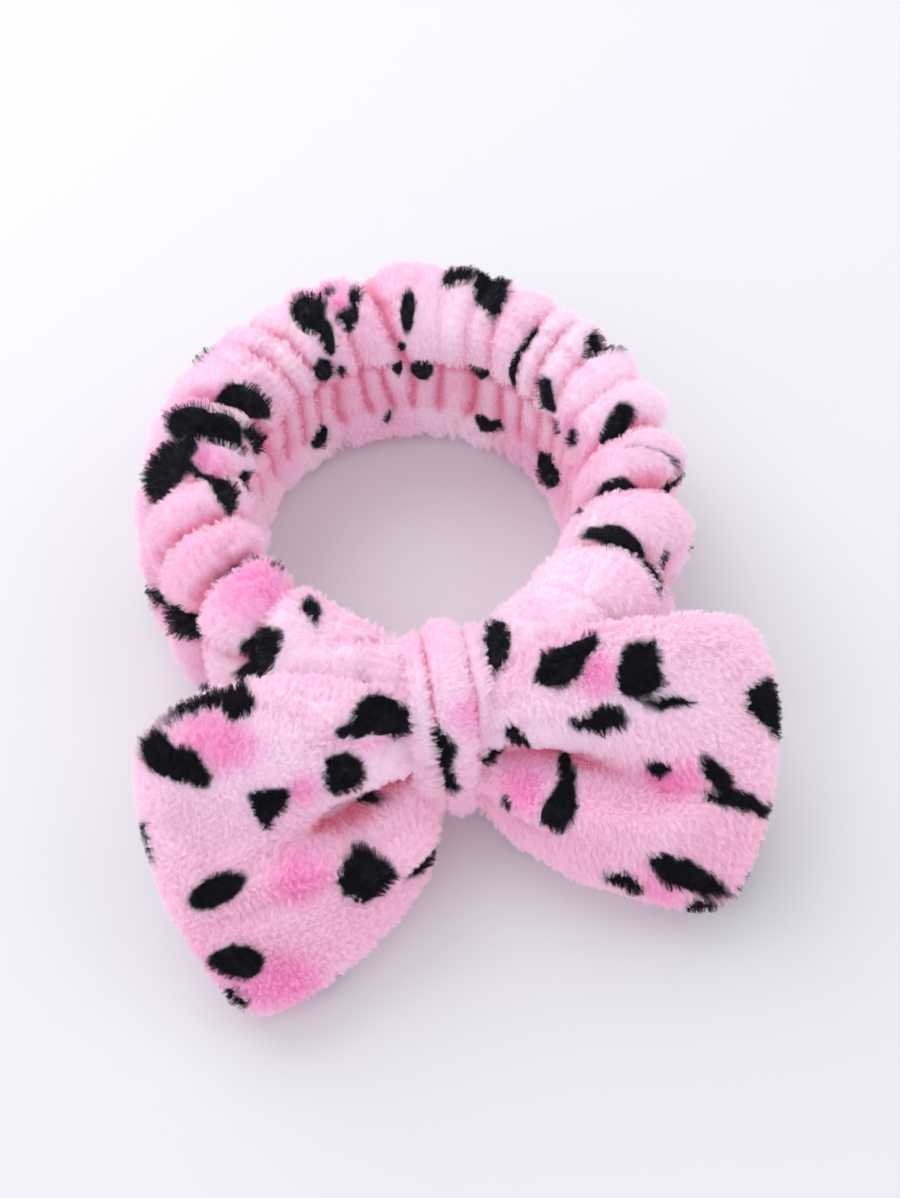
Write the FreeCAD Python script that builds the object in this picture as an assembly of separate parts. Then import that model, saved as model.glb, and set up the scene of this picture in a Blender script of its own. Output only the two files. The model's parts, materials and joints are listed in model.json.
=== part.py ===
import FreeCAD
import Part
import math
import os

# Spa headband: a gathered fleece tube on an elastic loop, with a padded bow tied to it by a centre wrap.
# The origin is the centre of the head opening at half the band's height. +Z is up as it lies on a table
# and the bow is at the front, towards -Y. Each sewn piece is one STEP file in parts/. Sizes are in mm.

Vector = FreeCAD.Vector
UP = Vector(0, 0, 1)
RIGHT = Vector(1, 0, 0)

# Band: the fleece tube as it lies gathered on its elastic.
OPENING_RADIUS = 54.0
BAND_THICKNESS = 41.0
BAND_HEIGHT = 60.0
BAND_CORNER = 14.0
FLEECE = 4.0

# Neck: the short front stretch that the wrap squeezes flat and leans back.
NECK_CENTRE = Vector(0, -77.0, 1.0)
NECK_HALF_THICKNESS = 10.0
NECK_HALF_HEIGHT = 24.0
NECK_CORNER = 9.0
CORE_CORNER = 6.0  # of the neck and the waist together, inside the wrap
NECK_HALF_LENGTH = 14.0
LEAN = math.radians(20.0)
TAPER_START = math.radians(43.0)  # where the full band starts to narrow, measured from the front
TAPER_MIDDLE = math.radians(27.0)
TAPER_SHARE = 0.7  # how far it has narrowed there

# Elastic: one woven strip, lapped and stitched at the back.
ELASTIC_THICKNESS = 1.2
ELASTIC_WIDTH = 25.0
ELASTIC_LAP = 14.0

# Bow: a padded pillow pinched to a flat waist. Each wing bends on a line beside the wrap.
WAIST_HALF_THICKNESS = 3.0
WAIST_HALF_HEIGHT = 17.5
WAIST_HALF_LENGTH = 12.5
BEND_OFFSET = 18.0
BEND_FORWARD = 4.0  # the wings' roots puff out in front of the waist
KNUCKLE_RADIUS = 4.8  # the round root of a wing, just inside its first outline
BOW_WALL = 3.0
PADDING_GAP = 1.6
LEFT_WING_END = Vector(-91.0, -117.0, -1.0)
RIGHT_WING_END = Vector(94.0, -107.0, 1.0)
LEFT_END_UP = Vector(-0.26, 0.83, 0.50)
RIGHT_END_UP = Vector(0.27, 0.77, 0.56)
# Along a wing from its bend line to its outer edge: share of the length, half height, half thickness.
WING_STATIONS = ((0.0, 21.0, 5.0), (0.3, 29.0, 7.0), (0.65, 38.0, 10.5), (1.0, 42.0, 8.0))
WING_CORNER = 0.9  # of the half thickness, so that every edge of the pillow is round

# Wrap: a fleece strip drawn round the waist and the neck together.
WRAP_THICKNESS = 3.0
WRAP_HALF_WIDTH = 11.0

# Sewing thread, and the air left between pieces that touch on the real headband.
THREAD_RADIUS = 0.4
AIR = 0.2
STITCH_LENGTH = 4.0
SEAM_RUNS = 9  # points along each edge of a wing's seam


def leaning(front, top):
    """A direction made of its parts towards the front of the leaning neck and up along it."""
    frontward = Vector(0, -math.cos(LEAN), math.sin(LEAN))
    topward = Vector(0, math.sin(LEAN), math.cos(LEAN))
    return frontward * front + topward * top


FRONTWARD = leaning(1, 0)
TOPWARD = leaning(0, 1)
WAIST_CENTRE = NECK_CENTRE + FRONTWARD * (NECK_HALF_THICKNESS + AIR + WAIST_HALF_THICKNESS)
# The wrap's core is the neck and the waist together, with room for the thread that ties them.
CORE_HALF_THICKNESS = NECK_HALF_THICKNESS + WAIST_HALF_THICKNESS + AIR / 2
CORE_CENTRE = NECK_CENTRE + FRONTWARD * (WAIST_HALF_THICKNESS + AIR / 2)
THREAD_ROOM = 2 * (THREAD_RADIUS + AIR)


def mix(first, second, share):
    """The value a share of the way from the first to the second, for numbers and vectors."""
    return first * (1 - share) + second * share


def rounded_rectangle(centre, across, up, half_width, half_height, corner):
    """A closed wire of four corner arcs joined by straight sides."""
    arcs = []
    for quarter, (x, y) in enumerate(((1, 1), (-1, 1), (-1, -1), (1, -1))):
        middle = centre + across * (x * (half_width - corner)) + up * (y * (half_height - corner))
        points = []
        for share in (0, 0.5, 1):
            angle = (quarter + share) * math.pi / 2
            points.append(middle + across * (corner * math.cos(angle)) + up * (corner * math.sin(angle)))
        arcs.append(points)
    edges = []
    for points, following in zip(arcs, arcs[1:] + arcs[:1]):
        edges.append(Part.Arc(*points).toShape())
        edges.append(Part.makeLine(points[2], following[0]))
    return Part.Wire(edges)


def plain_rectangle(centre, across, up, half_width, half_height):
    """A closed wire with square corners."""
    corners = []
    for x, y in ((1, -1), (1, 1), (-1, 1), (-1, -1), (1, -1)):
        corners.append(centre + across * (x * half_width) + up * (y * half_height))
    return Part.makePolygon(corners)


def outward(angle):
    """The level direction away from the opening's centre, at an angle from the front."""
    return Vector(math.sin(angle), -math.cos(angle), 0)


def loop_with_neck(section):
    """A closed loop: a full sweep round the back, a taper at each side and a straight neck.

    section(angle, share) gives the loop's outline: share is 0 on the full band and 1 on the neck.
    """
    start = Part.Face(section(TAPER_START, 0.0))
    turn = 360.0 - 2 * math.degrees(TAPER_START)
    pieces = [start.revolve(Vector(0, 0, 0), UP, turn)]
    for side in (-1, 1):
        outlines = [
            section(side * TAPER_START, 0.0),
            section(side * TAPER_MIDDLE, TAPER_SHARE),
            section(side, 1.0),
        ]
        pieces.append(Part.makeLoft(outlines, True, True))
    neck = Part.Face(section(-1, 1.0))
    pieces.append(neck.extrude(RIGHT * (2 * NECK_HALF_LENGTH)))
    return pieces[0].fuse(pieces[1:]).removeSplitter()


def loop_frame(angle, share, radius):
    """Centre and two directions of a loop's outline, between the upright band and the leaning neck."""
    on_band = outward(angle) * radius
    on_neck = NECK_CENTRE + RIGHT * math.copysign(NECK_HALF_LENGTH, angle)
    across = mix(outward(angle), FRONTWARD, share).normalize()
    up = mix(UP, TOPWARD, share).normalize()
    return mix(on_band, on_neck, share), across, up


def sleeve_outline(inset):
    """The outline function of the fleece tube, or of the hollow inside it when inset is not zero."""

    def outline(angle, share):
        radius = OPENING_RADIUS + BAND_THICKNESS / 2
        centre, across, up = loop_frame(angle, share, radius)
        return rounded_rectangle(
            centre,
            across,
            up,
            mix(BAND_THICKNESS / 2, NECK_HALF_THICKNESS, share) - inset,
            mix(BAND_HEIGHT / 2, NECK_HALF_HEIGHT, share) - inset,
            mix(BAND_CORNER, NECK_CORNER, share) - inset,
        )

    return outline


ELASTIC_RADIUS = OPENING_RADIUS + FLEECE + AIR + ELASTIC_THICKNESS


def elastic_outline(angle, share):
    """The thin upright strip, near the inner wall of the band and in the middle of the neck."""
    centre, across, up = loop_frame(angle, share, ELASTIC_RADIUS)
    return plain_rectangle(centre, across, up, ELASTIC_THICKNESS / 2, ELASTIC_WIDTH / 2)


def fleece_sleeve():
    return loop_with_neck(sleeve_outline(0.0)).cut(loop_with_neck(sleeve_outline(FLEECE)))


def elastic_loop():
    """The strip's loop with the doubled layer where its ends lap at the back."""
    loop = loop_with_neck(elastic_outline)
    half_turn = ELASTIC_LAP / 2 / ELASTIC_RADIUS
    radius = ELASTIC_RADIUS + ELASTIC_THICKNESS
    start = math.pi - half_turn
    middle = outward(start) * radius
    lap = plain_rectangle(middle, outward(start), UP, ELASTIC_THICKNESS / 2, ELASTIC_WIDTH / 2)
    doubled = Part.Face(lap).revolve(Vector(0, 0, 0), UP, math.degrees(2 * half_turn))
    return loop.fuse(doubled).removeSplitter()


def thread_chain(points):
    """One thread laid straight from point to point, with round bends."""
    pieces = [Part.makeSphere(THREAD_RADIUS, points[0])]
    for start, end in zip(points, points[1:]):
        run = end - start
        pieces.append(Part.makeCylinder(THREAD_RADIUS, run.Length, start, run))
        pieces.append(Part.makeSphere(THREAD_RADIUS, end))
    return pieces[0].fuse(pieces[1:])


def smooth_points(points, count):
    """Points at even steps along a smooth curve through the given ones."""
    curve = Part.BSplineCurve()
    curve.interpolate(points)
    first, last = curve.FirstParameter, curve.LastParameter
    return [curve.value(mix(first, last, step / (count - 1))) for step in range(count)]


def thread_rings(centre, half_width, half_height, corner, turns):
    """Turns of thread lying side by side round a leaning rounded core."""
    pitch = 1.8 * THREAD_RADIUS
    rings = []
    for turn in range(turns):
        middle = centre + RIGHT * (pitch * (turn - (turns - 1) / 2))
        path = rounded_rectangle(middle, FRONTWARD, TOPWARD, half_width, half_height, corner)
        start = path.OrderedVertexes[0].Point
        first = path.OrderedEdges[0]
        circle = Part.makeCircle(THREAD_RADIUS, start, first.tangentAt(first.FirstParameter))
        rings.append(path.makePipeShell([Part.Wire(circle)], True, True))
    return rings[0] if turns == 1 else rings[0].fuse(rings[1:])


def elastic_lap_stitches():
    """A zigzag over the lapped ends, on the outer face of the elastic."""
    radius = ELASTIC_RADIUS + 1.5 * ELASTIC_THICKNESS + THREAD_RADIUS + AIR
    half_turn = (ELASTIC_LAP - STITCH_LENGTH) / 2 / radius
    rows = int((ELASTIC_WIDTH - STITCH_LENGTH) / STITCH_LENGTH * 2)
    points = []
    for row in range(rows + 1):
        angle = math.pi + half_turn * (-1 if row % 2 else 1)
        height = STITCH_LENGTH / 2 * (row - rows / 2)
        points.append(outward(angle) * radius + UP * height)
    return thread_chain(points)


def sleeve_long_seam():
    """The seam that closes the tube lengthwise, along the floor of the hollow."""
    radius = OPENING_RADIUS + BAND_THICKNESS / 2
    height = FLEECE + THREAD_RADIUS + AIR - BAND_HEIGHT / 2
    centre = outward(TAPER_START) * radius + UP * height
    tangent = UP.cross(outward(TAPER_START))
    section = Part.Face(Part.Wire(Part.makeCircle(THREAD_RADIUS, centre, tangent)))
    return section.revolve(Vector(0, 0, 0), UP, 360.0 - 2 * math.degrees(TAPER_START))


def sleeve_end_seam():
    """The seam that joins the tube's two ends, inside the neck."""
    inset = FLEECE + THREAD_RADIUS + AIR
    return thread_rings(
        NECK_CENTRE,
        NECK_HALF_THICKNESS - inset,
        NECK_HALF_HEIGHT - inset,
        NECK_CORNER - inset,
        1,
    )


def bow_waist():
    """The flat pinched middle of the bow."""
    outline = rounded_rectangle(
        WAIST_CENTRE - RIGHT * WAIST_HALF_LENGTH,
        FRONTWARD,
        TOPWARD,
        WAIST_HALF_THICKNESS,
        WAIST_HALF_HEIGHT,
        WING_CORNER * WAIST_HALF_THICKNESS,
    )
    return Part.Face(outline).extrude(RIGHT * (2 * WAIST_HALF_LENGTH))


def bend_point(side):
    """The middle of a wing's bend line, which runs along TOPWARD."""
    return WAIST_CENTRE + FRONTWARD * BEND_FORWARD + RIGHT * (side * BEND_OFFSET)


def wing_frame(side, share):
    """Centre, front direction and up direction of a wing's outline at a share of its length."""
    root = bend_point(side)
    end = RIGHT_WING_END if side > 0 else LEFT_WING_END
    end_up = RIGHT_END_UP if side > 0 else LEFT_END_UP
    along = end - root
    up = mix(TOPWARD, end_up, share).normalize()
    front = along.cross(up).normalize() * side
    return root + along * share, front, up


def wing_share(station, inset):
    """The share of a wing's length for a station when both ends are drawn in by inset."""
    length = (LEFT_WING_END - bend_point(-1)).Length
    return mix(inset / length, 1 - inset / length, station)


def wing_solid(side, inset):
    """The twisted pillow of a wing, smaller on every side by inset."""
    outlines = []
    for station, half_height, half_thickness in WING_STATIONS:
        centre, front, up = wing_frame(side, wing_share(station, inset))
        thickness = half_thickness - inset
        outlines.append(
            rounded_rectangle(centre, front, up, thickness, half_height - inset, WING_CORNER * thickness)
        )
    return Part.makeLoft(outlines, True)


def bow_wing(side):
    """A hollow wing cover with a round root that turns on the bend line."""
    half_height = WING_STATIONS[0][1] - WING_CORNER * KNUCKLE_RADIUS
    foot = bend_point(side) - TOPWARD * half_height
    knuckle = Part.makeCylinder(KNUCKLE_RADIUS, 2 * half_height, foot, TOPWARD)
    cover = wing_solid(side, 0.0).cut(wing_solid(side, BOW_WALL))
    return cover.fuse(knuckle.cut(wing_solid(side, BOW_WALL)))


def wing_padding(side):
    return wing_solid(side, BOW_WALL + PADDING_GAP)


def wing_seam(side):
    """The seam that closes a wing, along its edges between the cover and the padding."""
    inset = BOW_WALL + PADDING_GAP / 2
    edges = []
    for edge in (-1, 1):
        points = []
        for station, half_height, half_thickness in WING_STATIONS:
            centre, front, up = wing_frame(side, wing_share(station, inset))
            points.append(centre + up * (edge * (half_height - inset)))
        edges.append(smooth_points(points, SEAM_RUNS))
    lower, upper = edges
    return thread_chain(lower + upper[::-1])


def tie_thread():
    """Turns of thread under the wrap, binding the waist to the neck."""
    room = AIR + THREAD_RADIUS
    return thread_rings(
        CORE_CENTRE,
        CORE_HALF_THICKNESS + room,
        NECK_HALF_HEIGHT + room,
        CORE_CORNER + room,
        5,
    )


def knot_wrap():
    """The strip round the core, as a closed leaning ring."""
    rings = []
    for grow in (THREAD_ROOM, THREAD_ROOM + WRAP_THICKNESS):
        outline = rounded_rectangle(
            CORE_CENTRE - RIGHT * WRAP_HALF_WIDTH,
            FRONTWARD,
            TOPWARD,
            CORE_HALF_THICKNESS + grow,
            NECK_HALF_HEIGHT + grow,
            CORE_CORNER + grow,
        )
        rings.append(Part.Face(outline).extrude(RIGHT * (2 * WRAP_HALF_WIDTH)))
    return rings[1].cut(rings[0])


def knot_wrap_seam():
    """Whip stitches across the wrap's closing lap, on its face towards the opening."""
    depth = CORE_HALF_THICKNESS + THREAD_ROOM + WRAP_THICKNESS + AIR + THREAD_RADIUS
    steps = int(2 * (WRAP_HALF_WIDTH - THREAD_RADIUS) / STITCH_LENGTH * 2)
    points = []
    for step in range(steps + 1):
        x = STITCH_LENGTH / 2 * (step - steps / 2)
        height = STITCH_LENGTH / 2 * (-1 if step % 2 else 1)
        points.append(CORE_CENTRE + RIGHT * x + leaning(-depth, height))
    return thread_chain(points)


def main():
    os.makedirs("parts", exist_ok=True)
    nodes = {
        "fleece_sleeve": fleece_sleeve(),
        "sleeve_long_seam": sleeve_long_seam(),
        "sleeve_end_seam": sleeve_end_seam(),
        "elastic_loop": elastic_loop(),
        "elastic_lap_stitches": elastic_lap_stitches(),
        "bow_waist": bow_waist(),
        "tie_thread": tie_thread(),
        "knot_wrap": knot_wrap(),
        "knot_wrap_seam": knot_wrap_seam(),
    }
    for name, side in (("left", -1), ("right", 1)):
        nodes["bow_wing_" + name] = bow_wing(side)
        nodes["wing_padding_" + name] = wing_padding(side)
        nodes["wing_seam_" + name] = wing_seam(side)
    for name, shape in nodes.items():
        shape.exportStep("parts/" + name + ".step")


main()
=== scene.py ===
import itertools
import json
import math

import bmesh
import bpy
import numpy as np
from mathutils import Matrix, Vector


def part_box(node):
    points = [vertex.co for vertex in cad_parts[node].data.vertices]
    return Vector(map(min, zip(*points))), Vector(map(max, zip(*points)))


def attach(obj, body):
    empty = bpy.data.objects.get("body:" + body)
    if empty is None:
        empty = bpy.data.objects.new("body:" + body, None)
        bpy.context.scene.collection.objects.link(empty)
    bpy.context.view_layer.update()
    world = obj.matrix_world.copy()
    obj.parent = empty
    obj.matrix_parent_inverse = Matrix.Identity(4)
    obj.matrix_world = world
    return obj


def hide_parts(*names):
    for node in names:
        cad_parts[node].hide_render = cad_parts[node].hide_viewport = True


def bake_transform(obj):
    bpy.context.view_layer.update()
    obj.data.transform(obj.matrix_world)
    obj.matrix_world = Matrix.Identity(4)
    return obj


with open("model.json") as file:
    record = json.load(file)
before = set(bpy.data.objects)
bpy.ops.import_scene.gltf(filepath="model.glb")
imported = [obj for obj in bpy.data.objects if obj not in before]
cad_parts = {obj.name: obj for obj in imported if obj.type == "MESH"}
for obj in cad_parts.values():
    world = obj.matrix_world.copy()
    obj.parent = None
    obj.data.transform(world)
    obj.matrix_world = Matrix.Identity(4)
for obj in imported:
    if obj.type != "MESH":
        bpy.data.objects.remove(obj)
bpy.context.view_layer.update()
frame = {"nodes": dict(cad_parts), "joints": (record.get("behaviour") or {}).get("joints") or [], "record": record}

# The looks of a fleece spa headband. Shapes are worked out in millimetres in the frame of the packed
# model, and become metres when their meshes are made.

MM = 0.001


def box_mm(node):
    """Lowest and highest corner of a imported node, in millimetres."""
    low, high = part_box(node)
    return np.array(low) / MM, np.array(high) / MM


def joint_point(name):
    """Where a joint's axis passes, in millimetres."""
    return next(np.array(j["pos_m"]) / MM for j in frame["joints"] if j["name"] == name)


BAND_LOW, BAND_HIGH = box_mm("fleece_sleeve")
WRAP_LOW, WRAP_HIGH = box_mm("knot_wrap")
TABLE = BAND_LOW[2]
OPENING = next(m["dims"]["r_mm"] for m in frame["record"]["mounts"] if m["name"] == "head_opening")
OUTER = BAND_HIGH[0]
BAND_MIDDLE = (OPENING + OUTER) / 2
CORE_MIDDLE = OPENING + 15.5  # the core sits nearer the opening: most of the folds are on the outside
NECK_Y = (WRAP_LOW[1] + WRAP_HIGH[1]) / 2 + 3.0
LEAN = math.radians(20.0)


# Numbers ------------------------------------------------------------------------------------------


def mix(first, second, share):
    return first * (1 - share) + second * share


def smoothstep(low, high, value):
    share = np.clip((value - low) / (high - low), 0, 1)
    return share * share * (3 - 2 * share)


def lattice(cell, seed):
    """A repeatable value in 0..1 for each whole-numbered cell."""
    value = cell[..., 0] * 374761393 + cell[..., 1] * 668265263 + cell[..., 2] * 1440662683
    value = (value + seed * 1274126177) & 0xFFFFFFFF
    value = ((value ^ (value >> 13)) * 1274126177) & 0xFFFFFFFF
    return ((value ^ (value >> 16)) & 0xFFFFFF) / 0xFFFFFF


NOISE_TURN = np.array([[0.36, 0.48, -0.80], [-0.80, 0.60, 0.0], [0.48, 0.64, 0.60]])  # hides the lattice


def noise(points, size, seed=0):
    """Smooth noise in -1..1 whose features are about size across."""
    scaled = points @ NOISE_TURN / size
    cell = np.floor(scaled).astype(np.int64)
    inside = scaled - cell
    weight = inside * inside * (3 - 2 * inside)
    total = 0.0
    for corner in itertools.product((0, 1), repeat=3):
        share = np.prod(np.where(corner, weight, 1 - weight), axis=-1)
        total = total + share * lattice(cell + np.array(corner), seed)
    return 2 * total - 1


def smooth_path(points, shares):
    """Points at shares 0..1 along a smooth curve through the given points."""
    points = np.array(points, float)
    padded = np.vstack([2 * points[0] - points[1], points, 2 * points[-1] - points[-2]])
    place = np.clip(shares, 0, 1) * (len(points) - 1)
    start = np.minimum(place.astype(int), len(points) - 2)
    t = (place - start)[..., None]
    a, b, c, d = (padded[start + k] for k in range(4))
    return b + 0.5 * t * (c - a + t * (2 * a - 5 * b + 4 * c - d + t * (3 * (b - c) + d - a)))


def upsample(values, axis, wrap):
    """Twice as many samples along an axis, on a smooth curve through the old ones."""
    values = np.moveaxis(values, axis, 0)
    if wrap:
        before, after, beyond = np.roll(values, 1, 0), np.roll(values, -1, 0), np.roll(values, -2, 0)
        middle = (9 * (values + after) - before - beyond) / 16
        result = np.stack([values, middle], 1).reshape(-1, *values.shape[1:])
    else:
        padded = np.concatenate([2 * values[:1] - values[1:2], values, 2 * values[-1:] - values[-2:-1]])
        middle = (9 * (padded[1:-2] + padded[2:-1]) - padded[:-3] - padded[3:]) / 16
        result = np.empty((2 * len(values) - 1, *values.shape[1:]))
        result[0::2] = values
        result[1::2] = middle
    return np.moveaxis(result, 0, axis)


def grid_normals(points, wrap_rows):
    """Unit normals, pointing out, of a grid of points whose columns close round each row's middle."""
    along = np.gradient(points, axis=0)
    if wrap_rows:
        along = (np.roll(points, -1, 0) - np.roll(points, 1, 0)) / 2
    around = (np.roll(points, -1, 1) - np.roll(points, 1, 1)) / 2
    normal = np.cross(along, around)
    from_middle = points - points.mean(axis=1, keepdims=True)
    normal = normal * np.sign((normal * from_middle).sum())
    return normal / np.maximum(np.linalg.norm(normal, axis=-1, keepdims=True), 1e-9)


# Meshes -------------------------------------------------------------------------------------------

CLOTH_FRAMES = 16


def grid_mesh(name, points, wrap_rows, layers, closed_ends=False):
    """A mesh from a grid of points in mm whose columns close. layers: name to a grid of uv pairs."""
    rows, columns = points.shape[:2]
    row_count = rows if wrap_rows else rows - 1
    i, j = np.meshgrid(np.arange(row_count), np.arange(columns), indexing="ij")
    corner_rows = np.stack([i, i + 1, i + 1, i], -1).reshape(-1, 4)
    corner_columns = np.stack([j, j, j + 1, j + 1], -1).reshape(-1, 4)
    flat = points.reshape(-1, 3)
    faces = (corner_rows % rows) * columns + corner_columns % columns
    one = len(faces) // 2
    side_a, side_b = flat[faces[one, 1]] - flat[faces[one, 0]], flat[faces[one, 3]] - flat[faces[one, 0]]
    if np.dot(np.cross(side_a, side_b), grid_normals(points, wrap_rows).reshape(-1, 3)[faces[one, 0]]) < 0:
        corner_rows, corner_columns, faces = corner_rows[:, ::-1], corner_columns[:, ::-1], faces[:, ::-1]
    mesh = bpy.data.meshes.new(name)
    mesh.from_pydata(flat * MM, [], faces.tolist())
    mesh.polygons.foreach_set("use_smooth", np.ones(len(faces), bool))
    for layer_name, values in layers.items():
        if values.shape[1] == columns:
            values = np.concatenate([values, values[:, :1]], 1)
        if wrap_rows and values.shape[0] == rows:
            values = np.concatenate([values, values[:1]], 0)
        layer = mesh.uv_layers.new(name=layer_name)
        layer.data.foreach_set("uv", values[corner_rows, corner_columns].astype(np.float32).ravel())
    if closed_ends:
        close_ends(mesh)
    mesh.update()
    obj = bpy.data.objects.new(name, mesh)
    bpy.context.scene.collection.objects.link(obj)
    return obj


def close_ends(mesh):
    """Joins the two layers where they meet at the outer end, and caps the end under the wrap."""
    cloth = bmesh.new()
    cloth.from_mesh(mesh)
    bmesh.ops.remove_doubles(cloth, verts=cloth.verts, dist=0.02 * MM)
    bmesh.ops.holes_fill(cloth, edges=[e for e in cloth.edges if e.is_boundary], sides=0)
    cloth.to_mesh(mesh)
    cloth.free()


def puff(points, wrap_rows, held, pressure, cap, growth=0.05):
    """The grid after a short cloth simulation under air pressure. held is 1 where it can't move."""
    obj = grid_mesh("cloth", points, wrap_rows, {})
    group = obj.vertex_groups.new(name="held")
    weights = held.ravel()
    for level in range(1, 11):
        members = np.nonzero(np.round(weights * 10).astype(int) == level)[0]
        if len(members):
            group.add(members.tolist(), level / 10, "REPLACE")
    modifier = obj.modifiers.new("cloth", "CLOTH")
    settings = modifier.settings
    settings.quality = 4
    settings.mass = 0.2
    settings.air_damping = 2.0
    settings.tension_stiffness = 10.0
    settings.compression_stiffness = 10.0
    settings.shear_stiffness = 4.0
    settings.bending_stiffness = 0.3
    settings.shrink_min = -growth
    settings.vertex_group_mass = "held"
    settings.pin_stiffness = 1.0
    settings.use_pressure = True
    settings.uniform_pressure_force = pressure
    settings.effector_weights.gravity = 0.0
    modifier.collision_settings.use_collision = False
    modifier.point_cache.frame_start = 1
    modifier.point_cache.frame_end = CLOTH_FRAMES
    scene = bpy.context.scene
    for number in range(1, CLOTH_FRAMES + 1):
        scene.frame_set(number)
    evaluated = obj.evaluated_get(bpy.context.evaluated_depsgraph_get())
    moved = np.empty(len(obj.data.vertices) * 3, np.float32)
    evaluated.data.vertices.foreach_get("co", moved)
    moved = moved.reshape(points.shape) / MM
    scene.frame_set(1)
    bpy.data.objects.remove(obj)
    step = moved - points
    length = np.linalg.norm(step, axis=-1, keepdims=True)
    return points + step * np.minimum(1, cap / np.maximum(length, 1e-9))


# Print: charcoal spots and hot pink patches ---------------------------------------------------------


def spot_distance(place, spot):
    """Distance in mm outside a spot's edge. A spot is centre, length, width, tilt, bend and taper."""
    centre, length, width, tilt, bend, taper = spot
    turn = math.radians(tilt)
    offset = place - np.array(centre)
    along = offset[..., 0] * math.cos(turn) + offset[..., 1] * math.sin(turn)
    across = offset[..., 1] * math.cos(turn) - offset[..., 0] * math.sin(turn)
    share = along / (length / 2)
    across = across - bend * length * (share**2 - 0.4) / 2
    half = width / 2 * np.clip(1 + taper * share, 0.15, 2)
    radius = np.sqrt(share**2 + (across / half) ** 2)
    return (radius - 1) * min(length, width) / 2


def print_layer(place, spots, patches):
    """The uv pair that carries the print: distance to the nearest spot, and the strength of the pink."""
    wobble = np.stack([np.zeros_like(place[..., 0])] * 3, -1)
    wobble[..., :2] = place
    bent = place + 1.4 * np.stack([noise(wobble, 7.0, 11), noise(wobble, 7.0, 12)], -1)
    ink = np.full(place.shape[:2], 20.0)
    for spot in spots:
        ink = np.minimum(ink, spot_distance(bent, spot))
    blush = np.zeros(place.shape[:2])
    for patch in patches:
        blush = np.maximum(blush, 1 - smoothstep(-4.0, 3.5, spot_distance(bent, patch)))
    return np.stack([np.clip(ink / 40 + 0.5, 0, 1), blush], -1)


# Band ---------------------------------------------------------------------------------------------

BAND_ROWS = 320
BAND_COLUMNS = 76
BAND_CORE = 11.5  # half thickness under the folds
BAND_CORE_HEIGHT = 22.5
NECK_CORE = 9.0
NECK_CORE_HEIGHT = 22.0
NECK_ANGLES = (math.radians(7.0), math.radians(40.0))  # the neck ends, the full band starts
ROLL_SETBACK = 0.5  # how far the inner wall sits behind the roll above it
BAND_LIFT = 2.4  # how much higher the top of the full band stands than its core


def band_profile(count):
    """The band's section as (outward, up) shares of its half sizes, at even steps of length."""
    turn = np.linspace(0, 2 * math.pi, 2001)
    power = 2 / 2.7
    out = -np.sign(np.cos(turn)) * np.abs(np.cos(turn)) ** power
    up = np.sign(np.sin(turn)) * np.abs(np.sin(turn)) ** power
    steps = np.hypot(np.diff(out) * BAND_CORE, np.diff(up) * BAND_CORE_HEIGHT)
    length = np.concatenate([[0], np.cumsum(steps)])
    wanted = np.arange(count) / count * length[-1]
    return np.interp(wanted, length, out), np.interp(wanted, length, up), length[-1]


# Creases over the top of the band: where each starts at the inner wall and ends on the outer one, in
# degrees from the front, and how deep it is.
CREASES = (
    (31, 40, 0.6), (49, 58, 0.9), (67, 77, 1.0), (86, 95, 1.0), (101, 108, 0.7), (113, 119, 0.8),
    (125, 130, 1.0), (134, 137, 0.9), (145, 149, 0.7), (153, 155, 0.6), (163, 165, 0.5),
    (174, 186, 1.0), (188, 196, 0.8), (198, 204, 0.5), (206, 213, 1.0), (215, 222, 0.9),
    (226, 231, 0.5), (235, 241, 1.0), (247, 255, 0.9), (261, 270, 0.8), (275, 284, 1.0),
    (293, 300, 1.0), (311, 316, 0.8), (325, 330, 0.4),
)
PLEATS = 38  # regular pleats of the inner wall
NOISE_TUBE = 20  # the band's noise is read on a tube of this radius, so that it closes round the section
GROOVE_SIDE = 286  # degrees from the front where the groove of the outer wall is deepest
GROOVE_PLACE = 0.37  # its share of the way round the section
TOP_FOLD = 3.6  # height of the puffs on the top, the outer wall and the inner wall
OUTER_FOLD = 9.4
INNER_FOLD = 2.6
NECK_FOLD = 0.6  # share of that height left at the neck


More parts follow.
